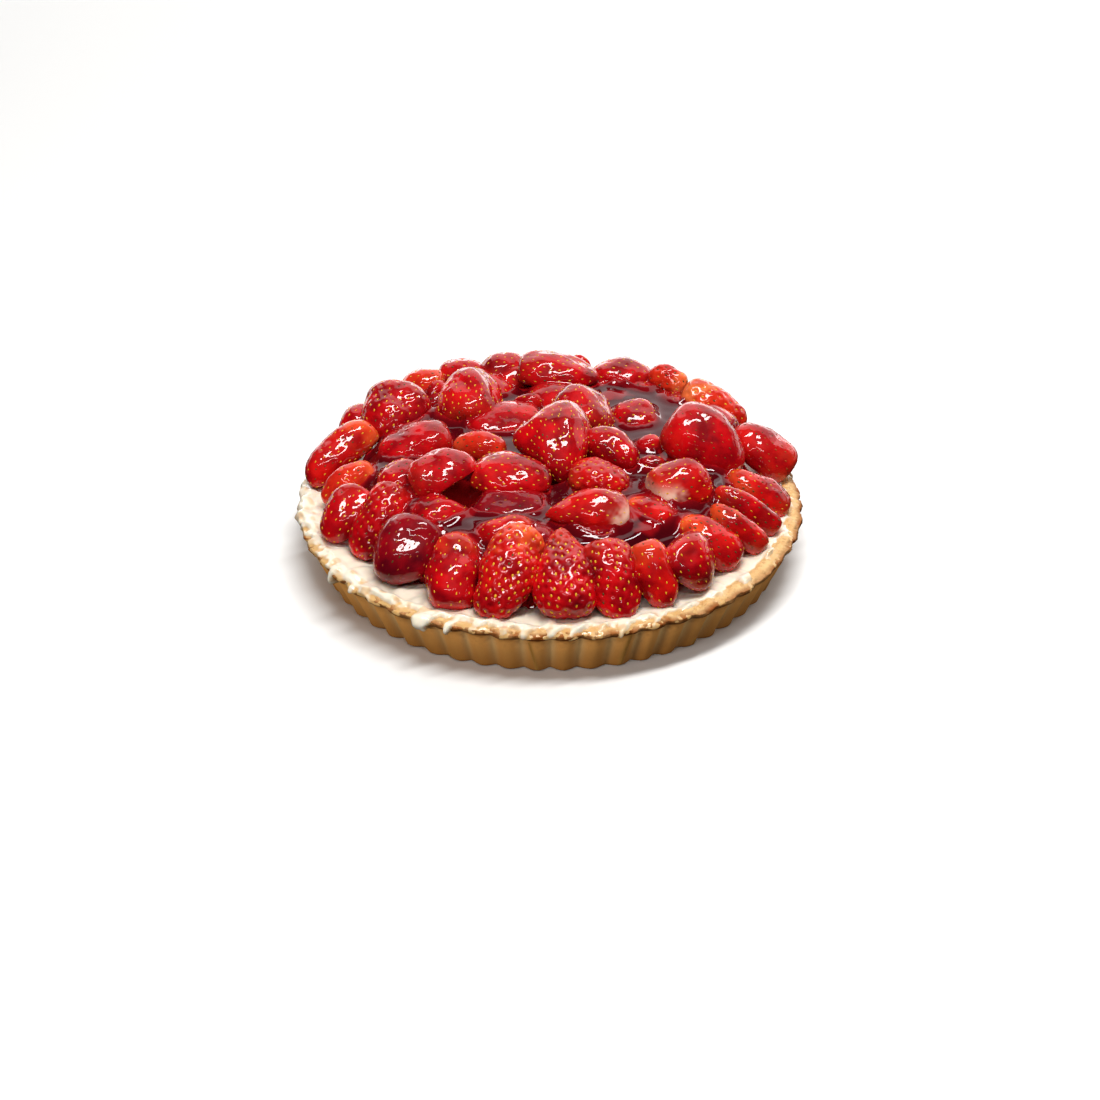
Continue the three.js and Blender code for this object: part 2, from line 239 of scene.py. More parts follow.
# Pastry cream under a film of syrup: off-white and a little see-through, with a wet gloss.
def pastryCream():
    look = {"cream": "#F8ECD6", "stained": "#E6C39C", "smear": "#DCAE70", "patchMm": 14.0,
            "roughness": 0.3}
    material, tree = newMaterial("pastry cream")
    place = addNode(tree, "TexCoord").outputs["Object"]
    patches = addNode(tree, "TexNoise", {
        "Vector": place, "Scale": 1000 / look["patchMm"], "Detail": 4.0}).outputs["Fac"]
    stain = addNode(tree, "MapRange", {
        "Value": patches, "From Min": 0.52, "From Max": 0.75, "To Min": 0.0, "To Max": 0.35})
    thick = addNode(tree, "Mix", {
        0: stain.outputs[0], 6: linear(look["cream"]), 7: linear(look["stained"])},
        data_type="RGBA")
    film = addNode(tree, "Attribute", attribute_name="film").outputs["Fac"]
    colour = addNode(tree, "Mix", {
        0: film, 6: linear(look["smear"]), 7: thick.outputs[2]}, data_type="RGBA")
    surface = addNode(tree, "BsdfPrincipled", {
        "Base Color": colour.outputs[2], "Roughness": look["roughness"], "IOR": 1.4,
        "Subsurface Weight": 0.3, "Subsurface Radius": (1.0, 0.75, 0.5),
        "Subsurface Scale": 0.003, "Coat Weight": 0.6, "Coat Roughness": 0.08})
    addNode(tree, "OutputMaterial", {"Surface": surface.outputs[0]})
    return material


# Set fruit jelly: clear and red, nearly black where it is deep, with a wet mirror-like skin.
def fruitJelly():
    look = {"deep": "#42040C", "thin": "#A81016", "roughness": 0.03}
    material, tree = newMaterial("red fruit jelly")
    thin = addNode(tree, "Attribute", attribute_name="thin").outputs["Fac"]
    colour = addNode(tree, "Mix", {
        0: thin, 6: linear(look["deep"]), 7: linear(look["thin"])}, data_type="RGBA")
    surface = addNode(tree, "BsdfPrincipled", {
        "Base Color": colour.outputs[2], "Roughness": look["roughness"], "IOR": 1.42})
    addNode(tree, "OutputMaterial", {"Surface": surface.outputs[0]})
    return material


# Ripe strawberry under a coat of clear glaze: saturated flesh, paler at a cut end, and very glossy.
flesh = {"patchMm": 11.0, "dentMm": 2.4, "dentDepthMm": 0.12, "cut": "#F2C6AE", "roughness": 0.5,
         "glazeRoughness": 0.02}
berryLooks = {
    "deep": {"dark": "#7E000A", "light": "#C8060E", "end": "#D43820"},
    "bright": {"dark": "#94010A", "light": "#D0100C", "end": "#EA5424"},
    "orange": {"dark": "#B8140E", "light": "#DE3216", "end": "#F07A40"},
    "burgundy": {"dark": "#5C000E", "light": "#960210", "end": "#A80C18"},
}


def glazedStrawberry(kind):
    look = berryLooks[kind]
    material, tree = newMaterial("glazed strawberry, " + kind)
    place = addNode(tree, "TexCoord").outputs["Object"]
    end, pale = (addNode(tree, "Attribute", attribute_name=name).outputs["Fac"]
                 for name in ("end", "pale"))
    patches, dents = (
        addNode(tree, "TexNoise", {
            "Vector": place, "Scale": 1000 / flesh[size], "Detail": detail}).outputs["Fac"]
        for size, detail in (("patchMm", 3.0), ("dentMm", 1.0)))
    lightShare = addNode(tree, "MapRange", {
        "Value": patches, "From Min": 0.35, "From Max": 0.65}).outputs[0]
    colour = linear(look["dark"])
    for share, layer in ((lightShare, look["light"]), (end, look["end"]), (pale, flesh["cut"])):
        colour = addNode(tree, "Mix", {0: share, 6: colour, 7: linear(layer)},
                         data_type="RGBA").outputs[2]
    bump = addNode(tree, "Bump", {
        "Strength": 0.35, "Distance": flesh["dentDepthMm"] * mm, "Height": dents}).outputs[0]
    surface = addNode(tree, "BsdfPrincipled", {
        "Base Color": colour, "Roughness": flesh["roughness"], "IOR": 1.4,
        "Specular IOR Level": 0.1, "Normal": bump, "Coat Normal": bump,
        "Subsurface Weight": 0.12, "Subsurface Radius": (1.0, 0.25, 0.15),
        "Subsurface Scale": 0.002, "Coat Weight": 1.0, "Coat Roughness": flesh["glazeRoughness"],
        "Coat IOR": 1.42})
    addNode(tree, "OutputMaterial", {"Surface": surface.outputs[0]})
    return material


# Strawberry seeds: small dry fruits, straw yellow or brown, that shine through the glaze.
def seedShell(name, hexColour):
    material, tree = newMaterial(name)
    surface = addNode(tree, "BsdfPrincipled", {
        "Base Color": linear(hexColour), "Roughness": 0.45, "IOR": 1.35})
    addNode(tree, "OutputMaterial", {"Surface": surface.outputs[0]})
    return material


# The pastry case. Lengths are in millimetres, here and in all that follows. Blisters of the lip and
# dents of the wall are ripples: the height, wave length and seed of each. Glaze has run down the wall
# in a few places: bearing where a run starts and ends, half of its width, and its top and bottom.
case = {
    "fluteCount": 55, "fluteDepth": 3.3, "lipUnevenness": 0.9, "columns": 1184, "rows": 84,
    "blisters": [(0.25, 9.0, 3), (0.26, 3.2, 4), (0.09, 1.6, 6)], "dents": [(0.06, 4.0, 5)],
    "glazeRuns": [(-4.8, -3.2, 0.9, 21, 0.5), (17.8, 16.6, 1.4, 22, 1), (36.5, 36.5, 1.5, 5, 0.5),
                  (-24.6, -24.6, 1.2, 4, 0.5)],
    "glazeStandsOut": 0.5, "brimOut": 0.45, "brimUp": 0.3,  # how far the brim is uneven
}

# The section of the case from the middle of its underside, out, up the wall, over the lip and in:
# radius, height, share of the flutes that reaches this point, share of the lip's waves.
caseSection = np.array([
    (0.0, 0.0, 0.0, 0.0), (100.0, 0.0, 0.6, 0.0), (107.8, 0.0, 1.0, 0.0), (108.9, 0.8, 1.0, 0.0),
    (111.0, 6.0, 1.0, 0.0), (113.3, 11.0, 1.0, 0.0), (115.6, 16.0, 1.0, 0.1),
    (117.4, 20.6, 1.0, 0.6), (118.1, 22.4, 0.9, 0.9), (119.7, 23.1, 0.5, 1.0),
    (120.3, 24.1, 0.42, 1.0), (119.7, 25.3, 0.3, 1.0), (117.4, 26.3, 0.12, 1.0),
    (113.5, 26.4, 0.0, 1.0), (110.6, 25.4, 0.0, 1.0), (109.2, 22.0, 0.0, 0.6),
    (105.0, 8.0, 0.0, 0.0), (103.0, 6.0, 0.0, 0.0), (0.0, 6.0, 0.0, 0.0)])
sectionStep = np.linalg.norm(np.diff(caseSection[:, :2], axis=0), axis=1)
sectionLength = np.concatenate([[0], np.cumsum(sectionStep)])

# How far along the section its main places are: the foot of the wall, the ledge below the lip, the
# widest part of the lip from below and from above, and the lip's inner edge.
wallFoot, ledge, brimBelow, brimAbove, innerEdge = sectionLength[[2, 7, 9, 11, 14]]


def lipShift(bearing):
    return case["lipUnevenness"] * wander(bearing, 1.7)


def fluteInset(bearing):
    wobble = 0.007 * wander(bearing, 9.1)
    wave = np.sqrt(np.sin(case["fluteCount"] * (bearing + wobble) / 2) ** 2 + 0.05)
    return case["fluteDepth"] * (1.025 - wave) * (1 + 0.2 * wander(bearing, 6.3))


# Points on the outside of the case, for bearings and lengths along its section.
def onCase(bearing, length):
    radius, height, fluted, lifted = (
        np.interp(length, sectionLength, caseSection[:, i]) for i in range(4))
    radius = radius - fluted * fluteInset(bearing)
    height = height + lifted * lipShift(bearing)
    fine = (np.sin(31 * bearing + 1.1) + np.sin(47 * bearing + 4.0)
            + np.sin(73 * bearing + 2.2)) / 3
    radius = radius + case["brimOut"] * fine * lifted * (radius > 114)
    height = height + case["brimUp"] * np.sin(38 * bearing + 0.6) * fine * lifted
    return polar(bearing, radius, height), lifted


def glazeShare(bearing, height):
    total = np.zeros(len(bearing))
    for first, last, halfWidth, top, bottom in case["glazeRuns"]:
        middle = np.radians(np.interp(height, [bottom, top], [last, first]))
        away = np.abs((bearing - middle + math.pi) % (2 * math.pi) - math.pi) * 116
        along = smoothStep(height, bottom - 1, bottom) * (1 - smoothStep(height, top - 1, top + 1))
        total = np.maximum(total, np.exp(-(away / halfWidth) ** 2) * along)
    return total


def makeCase():
    piece, column, row = addWrappedGrid(case["columns"], case["rows"])
    bearing = column / case["columns"] * 2 * math.pi
    # Rows are spread by what each stretch of the section needs.
    rowsAt = np.array([0, 2, 6, 8, 15, 22, 29, 36, 40, 44, 49, 54, 60, 66, 71, 75, 79, 81, 84])
    length = np.interp(row, rowsAt, sectionLength)
    points, lifted = onCase(bearing, length)
    # Blisters and dents of the baked dough stand outwards and a little up.
    outward = unit(points)
    outward[:, 2] += 0.6
    lumps = lifted * ripples(points, case["blisters"])
    lumps += ripples(points, case["dents"]) * (points[:, 2] > 1)
    outerWall = (length > wallFoot) & (length < brimBelow)
    glazed = glazeShare(bearing, points[:, 2]) * outerWall
    lumps += case["glazeStandsOut"] * glazed
    points += outward * lumps[:, None]
    points[:, 2] = np.maximum(points[:, 2], 0)
    writePoints(piece, points * mm)
    # Brown along the ledge, where it is toasted, and painted shade in the creases between the smaller
    # blisters of the lip.
    edge = smoothStep(length, ledge, ledge + 2) * (1 - smoothStep(length, brimAbove, brimAbove + 4))
    waveLength, seed = case["blisters"][1][1:]
    creaseShade = smoothStep(-ripple(points, waveLength, seed), 0.2, 0.9) * lifted
    edge = np.maximum(edge, 0.4 * creaseShade)
    storeValues(piece, "lip", smoothStep(length, brimBelow, brimAbove))
    # The edge values carry both the toasted ledge and the painted shade in the lip's creases.
    storeValues(piece, "edge", edge)
    storeValues(piece, "glazed", glazed)
    # Its lip is darkest brown in front.
    storeValues(piece, "baked", 0.35 + 0.65 * smoothStep(np.cos(bearing), 0.6, 0.95))
    # Painted reflection: the valleys of the flutes are coloured lighter and greyer, as if they
    # mirrored light.
    storeValues(piece, "valley", smoothStep(fluteInset(bearing) / case["fluteDepth"], 0.15, 1.0))
    closeSeams(piece)
    return dressPiece(piece, "case", bakedPastry(), "crust", "crust")


# The cream: the height of its level part, its thickness on the lip, the shares of its rows that lie
# under it and on the lip, how far past the lip's inner edge it may go and where it starts to hang,
# and how far its runs lean, in radians a millimetre. Flows are where it runs over the lip: bearing
# and half of the width in degrees, and distance past the inner edge, broad ones first. Its film
# thins out over filmWidth, and smears go a little past it. The rest are ripples.
cream = {
    "top": 24.7, "skin": 1.9, "columns": 1200, "rows": 80, "underShare": 0.1, "lipShare": 0.5,
    "outermost": 18.0, "overEdge": 10.7, "lean": 0.0042, "edgeRise": 1.2, "filmWidth": 3.2,
    "smearPast": 1.5, "smearWidth": 3.0, "smearThick": 0.2, "skinWaves": [(0.4, 9.0, 11)],
    "patches": [(0.4, 6.0, 15)], "smears": [(0.6, 3.6, 16)], "stains": [(1.0, 7.0, 17)],
    "waves": [(0.8, 14.0, 12), (0.35, 5.0, 13), (0.15, 2.6, 14)],
    "flows": [
        (-92, 34, 12), (-130, 30, 8.5), (-50, 27, 10), (-12, 32, 6.6), (18, 30, 5.6),
        (-162, 30, 6), (62, 24, 2), (88, 26, 2.5), (150, 40, 3),
        (-106, 5, 14), (-94, 3, 15), (-81, 3, 13.5), (-69, 1.6, 12), (-54.5, 1.1, 16.5),
        (-39, 2.4, 7), (-27, 3.2, 16.5), (-20.3, 1.3, 14), (-14.5, 2.6, 9.8), (-8.5, 1.7, 10.2),
        (-3.5, 1.9, 10.4), (2, 2.2, 10.6), (7.2, 2.2, 10.4), (12.3, 2.2, 10), (18.2, 3, 9.8),
        (25.5, 2.6, 8.5), (34, 4, 5.5), (43, 3, 6), (52, 2.4, 8.5), (64, 3, 5.5), (75, 3, 7),
        (89, 4, 6), (104, 4, 5), (-118, 4, 12), (-139, 3, 9), (-163, 4, 8.5), (172, 4, 6.5),
        (141, 3, 5)],
}


def creamReach(bearing):
    here = np.degrees(bearing)
    reach = 0.6 + 0.8 * wander(bearing, 4.2)
    for middle, halfWidth, distance in cream["flows"]:
        away = np.abs((here - middle + 180) % 360 - 180)
        share = np.cos(np.minimum(away / halfWidth, 1) * math.pi / 2) ** 0.6
        reach = np.where(away < halfWidth, np.maximum(reach, distance * share), reach)
    return reach + 0.5 * np.sin(61 * bearing + 2) * np.sin(23 * bearing)


# How thick the cream lies at each place on the lip, below 0 where the pastry shows, and how far
# inside its reach that place is. Near its reach it breaks into patches, tongues and thin smears,
# first on the swellings of the lip.
def creamOnLip(bearing, distance, base):
    reach = creamReach(bearing + cream["lean"] * np.minimum(distance, cream["overEdge"]))
    swelling = 1 - fluteInset(bearing) / case["fluteDepth"]
    overLip = smoothStep(distance, 2.5, 4.5) * (1 - smoothStep(distance, 8, 9.5))
    film = (reach - distance) / cream["filmWidth"]
    film += ripples(base, cream["patches"]) * smoothStep(distance, 0.5, 3)
    film -= 0.25 * swelling * overLip
    smear = (reach + cream["smearPast"] - distance) / cream["smearWidth"]
    smear += ripples(base, cream["smears"])
    thick = cream["skin"] * np.clip(film, 0, 1) ** 0.7 * (1 + ripples(base, cream["skinWaves"]))
    thick = np.maximum(thick, cream["smearThick"] * np.clip(smear, 0, 1))
    thick += 0.6 * np.minimum(film + 0.8, 0)
    return np.maximum(thick, -0.6), film


def makeCream():
    piece, column, row = addWrappedGrid(cream["columns"], cream["rows"])
    bearing = column / cream["columns"] * 2 * math.pi
    # Rows: the underside, then from the outer edge back over the lip, then level to the middle.
    share = row / cream["rows"]
    underRows, lipRows = cream["underShare"], cream["lipShare"]
    back = np.clip((share - underRows) / lipRows, 0, 1)
    distance = cream["outermost"] * (1 - back)  # past the lip's inner edge
    onLip = share < underRows + lipRows
    base, _ = onCase(bearing, innerEdge - distance)
    thick, film = creamOnLip(bearing, distance, base)
    radius = np.hypot(base[:, 0], base[:, 1])
    stains = smoothStep(ripples(base, cream["stains"]), 0.1, 0.8) * smoothStep(radius, 111, 113)
    filmValues = np.where(onLip, smoothStep(thick, 0.1, 1.0), 1) * (1 - 0.6 * stains)
    # Past the lip's outer edge the runs hang straight down.
    overEdge = cream["overEdge"]
    hanging, _ = onCase(bearing, innerEdge - np.minimum(distance, overEdge))
    hanging[:, 2] -= np.maximum(distance - overEdge, 0)
    hangs = smoothStep(film, -0.3, 0.2)[:, None]
    base = base * (1 - hangs) + hanging * hangs
    past = smoothStep(distance, 8.5, 11.5)
    points = base + polar(bearing, 0.35 + 0.65 * past, 1 - 0.9 * past) * thick[:, None]
    # Inside the lip the cream goes level to the middle.
    middleShare = np.clip((share - underRows - lipRows) / (1 - underRows - lipRows), 0, 1)
    radius = np.hypot(base[:, 0], base[:, 1]) * (1 - middleShare)
    level = cream["top"] + cream["edgeRise"] * smoothStep(radius, 95, 108)
    ease = smoothStep(middleShare, 0, 0.1)
    height = points[:, 2] * (1 - ease) + level * ease
    flat = polar(bearing, radius, height)
    flat[:, 2] += ripples(flat, cream["waves"]) * ease
    points = np.where(onLip[:, None], points, flat)
    # The underside hides in the pastry.
    underShare = np.clip(share / underRows, 0, 1)
    edgePoint, _ = onCase(bearing, innerEdge - cream["outermost"])
    hidden = edgePoint * underShare[:, None]
    hidden[:, 2] = np.where(underShare < 0.7, 7, edgePoint[:, 2] - 1.2)
    points = np.where((share < underRows)[:, None], hidden, points)
    writePoints(piece, points * mm)
    storeValues(piece, "film", filmValues)
    closeSeams(piece)
    return dressPiece(piece, "cream_layer", pastryCream(), "cream", "cream")


# The berries. One row for each: name, bearing, reach, height of its middle, heading and pitch of
# its tip, length, width, thickness and taper, in degrees and millimetres.
berries = [
    ("crown_1", 60, 3, 57, 9, -18, 48, 33, 24, 0.2),
    ("crown_2", -35, 32, 53, 76, 0, 38, 29, 17, 0.15),
    ("crown_3", 158, 36, 53.5, -169, 10, 35, 32, 21, 0.2),
    ("crown_4", 96, 74, 51, 58, -17, 41, 36, 27, 0.3),
    ("crown_5", -143, 65, 51.5, 179, 31, 35, 34, 21, 0.3),
    ("crown_6", -121, 89, 46.5, -17, -18, 35, 34, 21, 0.2),
    ("crown_7", -63, 56, 54, 106, 10, 33, 27, 18, 0.1),
    ("crown_8", 64, 67, 49, 113, 2, 30, 27, 21, 0.1),
    ("crown_9", 17, 57, 51, -82, 2, 39, 25, 16, 0.35),
    ("crown_10", -101, 66, 48, -76, -10, 36, 27, 16, 0.15),
    ("crown_11", -96, 34, 52, -107, 0, 26, 16, 13, 0.1),
    ("crown_12", -148, 44, 48, -68, -2, 36, 26, 12, 0.1),
    ("crown_13", 84, 28, 53, 54, -16, 29, 19, 14, 0.1),
    ("crown_14", 44, 33, 51, 74, -2, 29, 24, 13, 0.2),
    ("crown_15", 136, 58, 48, -79, 0, 21, 23, 12, 0.1),
    ("crown_16", 174, 58, 46, 70, 4, 35, 27, 15, 0.25),
    ("crown_17", -157, 80, 44, 50, -6, 32, 25, 14, 0.2),
    ("outer_1", 4, 90, 41.2, -175, 31, 46, 31, 19, 0.4),
    ("outer_2", -12, 91, 40, -20, -29, 47, 28, 19, 0.1),
    ("outer_3", 16.6, 96, 38, 20, -39, 38, 28, 17, 0.3),
    ("outer_4", -28, 93, 37, 176, 33, 38, 25, 17, 0.15),
    ("outer_5", 39, 100, 38.5, 62, -50, 25, 28, 17, 0.25),
    ("outer_6", 28, 99, 38, 33, -47, 32, 21, 16, 0.2),
    ("outer_7", -45, 94, 37.5, -39, -36, 33, 29, 20, 0.15),
    ("outer_8", -62, 90, 38, -34, -34, 39, 25, 18, 0.2),
    ("outer_9", 52, 92, 37, -104, 34, 33, 22, 15, 0.25),
    ("outer_10", 63, 97, 37, -104, 38, 32, 15, 13, 0.15),
    ("outer_11", 72, 96, 38, -96, 36, 36, 13, 14, 0.1),
    ("outer_12", 84, 98, 36, -88, 33, 34, 20, 14, 0.15),
    ("outer_13", 105, 105, 37, -109, 36, 34, 28, 19, 0.15),
    ("outer_14", -101, 102, 38, -48, -22, 42, 20, 17, 0.1),
    ("outer_15", -86, 96, 38, -69, -25, 29, 16, 14, 0.15),
    ("outer_16", -71, 101, 37, -41, -33, 30, 23, 15, 0.15),
    ("back_1", 177, 78, 53, 85, -3, 41, 27, 17, 0.2),
    ("back_2", 127, 102, 42, 76, -24, 33, 21, 15, 0.25),
    ("back_3", 158, 93, 47, -95, 8, 30, 22, 13, 0.1),
    ("back_4", 144, 98, 48, -111, 16, 20, 13, 12, 0.1),
    ("back_5", -166, 94, 46, 115, 13, 24, 23, 16, 0.2),
    ("back_6", -154, 100, 44, 88, 3, 24, 22, 15, 0.1),
    ("back_7", -141, 102, 45, -95, -16, 24, 18, 12, 0.2),
    ("back_8", -118, 107, 39, -47, -20, 21, 17, 14, 0.2),
    ("back_9", 121, 96, 37, 118, -38, 30, 24, 16, 0.25),
    ("back_10", 136, 93, 36, -40, 42, 32, 25, 16, 0.3),
    ("back_11", 150, 92, 34.5, 153, -44, 31, 24, 16, 0.2),
    ("back_12", 164, 91, 35, 160, -40, 33, 26, 17, 0.35),
    ("back_13", 178, 90, 39, -4, 43, 33, 24, 17, 0.25),
    ("back_14", -168, 91, 38, -165, -42, 30, 25, 16, 0.3),
    ("back_15", -154, 91, 38, -158, -44, 32, 23, 15, 0.2),
    ("back_16", -140, 94, 37, 44, 40, 30, 25, 16, 0.3),
    ("back_17", -127, 97, 36, -124, -42, 28, 22, 15, 0.2),
    ("low_1", 45, 65, 46, -132, 0, 25, 17, 11, 0.1),
    ("low_2", -76, 73, 46, -31, -11, 24, 21, 14, 0.1),
    ("low_3", -48, 68, 46, -59, 0, 27, 23, 13, 0.1),
    ("low_4", -27, 46, 46, -90, 0, 36, 25, 13, 0.1),
    ("low_5", -18, 68, 46, -76, -3, 26, 16, 12, 0.1),
    ("low_6", 17, 63, 44, -101, 0, 23, 18, 12, 0.1),
    ("low_7", -4, 72, 45, -172, 34, 16, 14, 12, 0.1),
]

# Bits that stand out of the jelly, in rows like those of the berries.
smallPieces = [
    ("bit_1", -167, 51, 51, -90, 0, 14, 8, 9, 0.1),
    ("bit_2", 104, 48, 49, -90, 0, 12, 10, 8, 0.1),
    ("bit_3", 81, 48, 49, -90, 0, 13, 9, 8, 0.1),
    ("bit_4", 171, 92, 46, 75, 0, 13, 9, 16, 0.1),
    ("bit_5", -141, 90, 44, -36, 0, 14, 10, 12, 0.1),
]

# What all berries share: the balls that they are shaped from, plain and fine, the shares of their
# thickness and of their segments above the middle, how round their shoulder is, the size of a
# dimple, and the height and wave length of ripples in their form, glaze and colours.
berryShape = {
    "plainBall": (96, 72), "fineBall": (168, 120), "fineFrom": 0.3,  # depth of the dimples
    "domeShare": 0.68, "domeSegments": 0.7, "shoulder": 0.5,
    "pitRadius": 1.45, "lump": (0.6, 18.0), "glaze": [(0.13, 7.0), (0.05, 3.6)],
    "colourEdge": (0.12, 9.0), "streak": (0.04, 3.0),
    "calmFrom": 0.5, "calm": 0.4,  # the glaze lies calmer on berries with dimples this deep
}

# What sets a berry apart: how far it rolls and bends sideways, how pointed its tip is (0.5 round, 1
# or more sharp), its look, depth of its dimples, how pale its shoulder is and where from, how orange
# it is there and at its tip, the share of brown seeds, what its other seeds look like, the size of
# its seeds and how far apart they are.
plain = {"roll": 0, "bend": 0, "point": 0.8, "look": "deep", "dimple": 0.14, "pale": 0.0,
         "paleFrom": 0.55, "orangeEnd": 0.15, "orangeTip": 0.0, "darkSeeds": 0.15,
         "seeds": "golden", "seedSize": 0.85, "spacing": 4.2}
berryDetails = {
    "crown_1": {"point": 0.95, "seedSize": 0.8, "spacing": 3.5},
    "crown_2": {"point": 0.7},
    "crown_3": {"point": 0.9, "seedSize": 0.8, "spacing": 3.4},
    "crown_4": {"dimple": 0.1, "seeds": "sunken", "seedSize": 0.75},
    "crown_5": {"orangeEnd": 0.3, "spacing": 3.5},
    "crown_6": {"dimple": 0.35, "seedSize": 0.9},
    "crown_7": {"seeds": "sunken"},
    "crown_8": {"look": "bright", "pale": 1.0},
    "crown_9": {"point": 1.25, "look": "bright", "pale": 0.9, "paleFrom": 0.66},
    "crown_10": {"seeds": "sunken", "seedSize": 0.75},
    "crown_11": {"look": "orange", "darkSeeds": 0.8, "orangeTip": 0.3, "orangeEnd": 0},
    "crown_12": {"seeds": "sunken"},
    "crown_13": {"roll": 20, "bend": 3},
    "crown_14": {"look": "bright", "dimple": 0.55},
    "outer_1": {"point": 1.3, "dimple": 0.85, "seedSize": 1.3, "darkSeeds": 0.05, "orangeEnd": 0,
                "orangeTip": 0.6},
    "outer_2": {"look": "bright", "dimple": 0.8, "seedSize": 1.25, "darkSeeds": 0.05,
                "orangeEnd": 0.9},
    "outer_3": {"dimple": 0.65, "seedSize": 1.1, "orangeEnd": 0.3},
    "outer_4": {"orangeEnd": 0, "orangeTip": 0.9, "spacing": 4.6},
    "outer_6": {"look": "bright", "orangeEnd": 0.4, "spacing": 4.5},
    "outer_7": {"look": "burgundy", "dimple": 0.1, "seeds": "sunken", "seedSize": 0.8},
    "outer_8": {"dimple": 0.6},
    "outer_9": {"roll": -20, "look": "bright", "darkSeeds": 0.7, "orangeEnd": 0, "orangeTip": 1.0,
                "spacing": 3.5},
    "outer_10": {"roll": -10, "bend": 2, "look": "bright", "darkSeeds": 0.8, "orangeTip": 0.7,
                 "spacing": 3.4},
    "outer_11": {"roll": -10, "bend": 2, "darkSeeds": 0.6, "orangeTip": 0.3, "spacing": 3.6},
    "outer_12": {"roll": -10, "bend": 1, "look": "bright", "darkSeeds": 0.8, "orangeTip": 0.5,
                 "spacing": 3.4},
    "outer_13": {"look": "bright", "seeds": "sunken", "seedSize": 0.8},
    "outer_14": {"bend": -3, "look": "bright", "darkSeeds": 0.3, "seedSize": 0.75,
                 "orangeEnd": 0.8},
    "outer_15": {"look": "orange", "dimple": 0.3, "orangeEnd": 0.4},
    "back_1": {"point": 1.1},
    "back_2": {"look": "orange", "dimple": 0.55, "seedSize": 0.95, "orangeEnd": 0.8},
    "back_3": {"point": 1.1},
    "back_4": {"look": "orange", "dimple": 0.35, "darkSeeds": 0.8, "orangeEnd": 0.8},
    "back_7": {"look": "orange"},
    "low_1": {"look": "bright", "darkSeeds": 0.6, "orangeEnd": 0, "orangeTip": 1.0},
    "low_4": {"look": "burgundy", "seeds": "sunken"},
    "low_5": {"look": "bright", "orangeEnd": 0.5},
    "low_6": {"look": "burgundy"},
    "low_7": {"look": "burgundy", "dimple": 0.1, "seeds": "sunken"},
}

# Swellings and hollows of single berries: angle from the tip, turn round it (0 and 180 are the
# sides, 90 the top), how far it reaches, all in degrees, and its height in millimetres.
swellings = {
    "crown_1": [(98, 172, 24, 5.0), (48, 185, 28, -3.5), (42, 0, 26, -2.5), (118, 15, 25, 2.0),
                (150, 150, 36, -7.0), (72, 105, 30, -1.7)],
    "crown_2": [(76, 120, 30, -1.4), (150, 90, 30, -1.5), (35, 120, 25, -1.0)],
    "crown_3": [(70, 90, 25, 1.5), (120, 60, 30, -1.0)],
    "crown_4": [(120, 140, 35, 1.5), (40, 60, 26, -1.5)],
    "crown_5": [(130, 95, 22, 2.2), (95, 140, 30, -1.5), (60, 90, 26, 1.2)],
    "crown_6": [(70, 40, 30, -1.5), (130, 130, 30, 0.6), (100, 90, 40, -1.3)],
    "crown_7": [(85, 124, 28, -1.0)],
    "crown_8": [(160, 90, 30, 1.0), (60, 90, 30, 1.0)],
    "crown_9": [(100, 90, 25, 1.0), (150, 60, 25, -1.0)],
    "crown_10": [(80, 90, 28, -1.0), (130, 60, 26, 1.2)],
    "crown_12": [(80, 50, 32, -1.3)],
    "crown_13": [(50, 90, 30, 1.2), (84, 95, 28, -0.9)],
    "outer_2": [(70, 60, 24, -1.2), (120, 110, 26, 1.2), (30, 180, 26, 2.0)],
    "outer_3": [(35, 40, 26, 1.2), (95, 150, 30, -1.0)],
    "outer_4": [(75, 120, 26, -1.0), (165, 90, 30, 1.0)],
    "outer_5": [(115, 130, 24, -1.0), (105, 0, 35, 1.4), (110, 180, 35, 1.8), (0, 90, 25, 1.8)],
    "outer_6": [(110, 130, 24, -1.0)],
    "outer_7": [(104, 66, 30, -1.6), (150, 30, 30, 1.8), (30, 110, 30, 1.2), (72, 0, 30, 2.4),
                (130, 150, 28, 1.2)],
    "outer_8": [(95, 120, 28, -1.0), (150, 90, 26, 1.2)],
    "outer_13": [(140, 90, 30, 1.5), (60, 140, 30, -1.2), (95, 84, 34, -1.4)],
    "outer_14": [(90, 64, 26, -0.8), (140, 90, 30, 0.8)],
    "outer_16": [(103, 61, 26, -0.8)],
    "low_4": [(92, 60, 34, -1.8)],
    "back_1": [(95, 90, 50, -1.8), (40, 90, 30, -0.6)],
    "back_2": [(170, 90, 45, 2.5)],
}

# Flat cuts: the way the cut faces, and its distance from the berry's middle in millimetres.
cuts = {"crown_7": ((0.55, -0.435, -0.715), 6.2)}

# Hollows between the berries that the jelly hasn't filled: x, y, radius, depth.
hollows = [(-43, -25, 10, 13), (-41, -38, 7, 9), (2, -17, 5, 5)]


def hollowDepth(x, y):
    return sum(deep * np.exp(-((x - hollowX) ** 2 + (y - hollowY) ** 2) / radius ** 2)
               for hollowX, hollowY, radius, deep in hollows)


def details(row):
    return {**plain, **berryDetails.get(row[0], {})}


# A berry's length, width, thickness, taper, sideways bend and how pointed its tip is.
def berryForm(row):
    return *row[6:10], details(row)["bend"], details(row)["point"]


def berryAxes(row):
    heading, pitch, roll = (math.radians(v) for v in (*row[4:6], details(row)["roll"]))
    tip = np.array([math.sin(heading) * math.cos(pitch), -math.cos(heading) * math.cos(pitch),
                    math.sin(pitch)])
    up = np.array([-math.sin(heading) * math.sin(pitch), math.cos(heading) * math.sin(pitch),
                   math.cos(pitch)])
    side = np.cross(up, tip)
    dome = up * math.cos(roll) - side * math.sin(roll)
    return tip, np.cross(dome, tip), dome


def berryMiddle(row):
    bearing = math.radians(row[1])
    return np.array([row[2] * math.sin(bearing), -row[2] * math.cos(bearing), row[3]])


